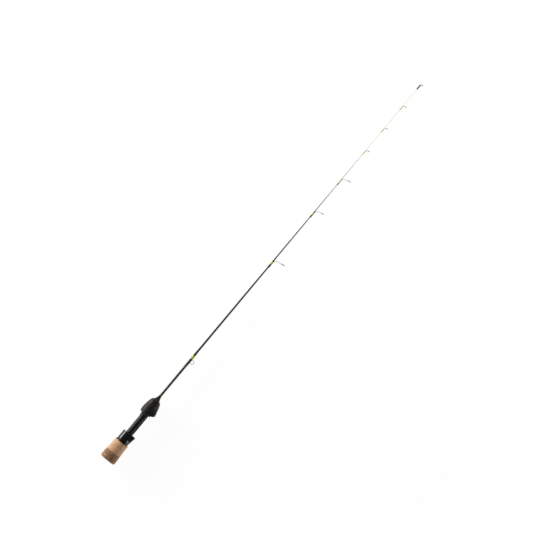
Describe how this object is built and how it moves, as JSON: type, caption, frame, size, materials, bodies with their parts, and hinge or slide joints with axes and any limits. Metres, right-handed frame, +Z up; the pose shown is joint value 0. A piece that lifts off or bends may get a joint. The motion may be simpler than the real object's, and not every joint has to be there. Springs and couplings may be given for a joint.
{
  "type": "ice fishing rod",
  "caption": "Short ice fishing rod with a cork grip, a reel seat clamped by a cork-faced nut, a tapered black blank, single-foot line guides and a flat bright tip.",
  "frame": {"origin": "on the rod's axis, at the butt's flat end face", "axes": "+X along the rod from the butt to the tip; -Y is the side of the reel bed and the line guides; +Z up, with the rod lying on its side"},
  "size_m": [0.6859, 0.0293, 0.024],
  "materials": {
    "burl_cork": "matte burl cork with dark specks",
    "cork": "matte light cork with fine pits",
    "black_core": "moulded nylon",
    "dark_metal": "dark anodised, satin",
    "satin_black": "satin black moulded plastic",
    "gloss_black": "glossy black moulded plastic",
    "soft_touch": "soft-touch black coating",
    "collar_black": "dark satin plastic",
    "arbor_foam": "rigid foam bushing",
    "blank_black": "clear-coated black graphite",
    "tip_chartreuse": "chartreuse paint on a flat tip",
    "label_black": "plain black under thick clear epoxy",
    "thread_black": "black thread under clear epoxy",
    "thread_green": "green thread under clear epoxy",
    "thread_chartreuse": "chartreuse thread under clear epoxy",
    "bright_wire": "bright stainless wire",
    "guide_wire": "grey stainless guide frame",
    "ring_insert": "dark polished ceramic-like ring",
    "tip_metal": "black-finished stainless tip-top"
  },
  "bodies": {
    "rod": {"butt_cap": "burl_cork", "seat_tube": "satin_black", "nose_collar": "collar_black", "front_hood": "soft_touch", "nose_insert": "satin_black", "nose_cone": "satin_black", "rear_arbor": "arbor_foam", "front_arbor": "arbor_foam", "blank": "blank_black", "tip_section": "tip_chartreuse", "label_sleeve": "label_black", "trim_wrap_1": "thread_black", "trim_lines_1": "thread_green", "trim_wrap_2": "thread_black", "trim_lines_2": "thread_green", "hook_keeper": "bright_wire", "keeper_wrap": "thread_black", "keeper_band": "thread_chartreuse", "guide_1_frame": "guide_wire", "guide_1_ring": "ring_insert", "guide_1_wrap": "thread_black", "guide_1_band": "thread_chartreuse", "guide_2_frame": "guide_wire", "guide_2_ring": "ring_insert", "guide_2_wrap": "thread_black", "guide_2_band": "thread_chartreuse", "guide_3_frame": "guide_wire", "guide_3_ring": "ring_insert", "guide_3_wrap": "thread_black", "guide_3_band": "thread_chartreuse", "guide_4_frame": "guide_wire", "guide_4_ring": "ring_insert", "guide_4_wrap": "thread_chartreuse", "guide_5_frame": "guide_wire", "guide_5_ring": "ring_insert", "guide_5_wrap": "thread_chartreuse", "guide_6_frame": "guide_wire", "guide_6_ring": "ring_insert", "guide_6_wrap": "thread_chartreuse", "tip_tube": "tip_metal", "tip_frame": "tip_metal", "tip_ring": "ring_insert"},
    "hood": {"rear_hood": "gloss_black", "coupling_ring": "collar_black"},
    "nut": {"cork_sleeve": "cork", "nut_core": "black_core", "trim_ring": "dark_metal"}
  },
  "joints": [
    {"name": "hood_slide", "type": "slide", "parent": "rod", "child": "hood", "axis": [1, 0, 0], "range_m": [0, 0.009]},
    {"name": "nut_turn", "type": "hinge", "parent": "hood", "child": "nut", "pos_m": [0.025, 0, 0], "axis": [1, 0, 0], "range_deg": [0, 1620]}
  ],
  "couplings": [
    {"joint": "nut_turn", "follows": "hood_slide", "rad_per_m": 3141.5}
  ]
}
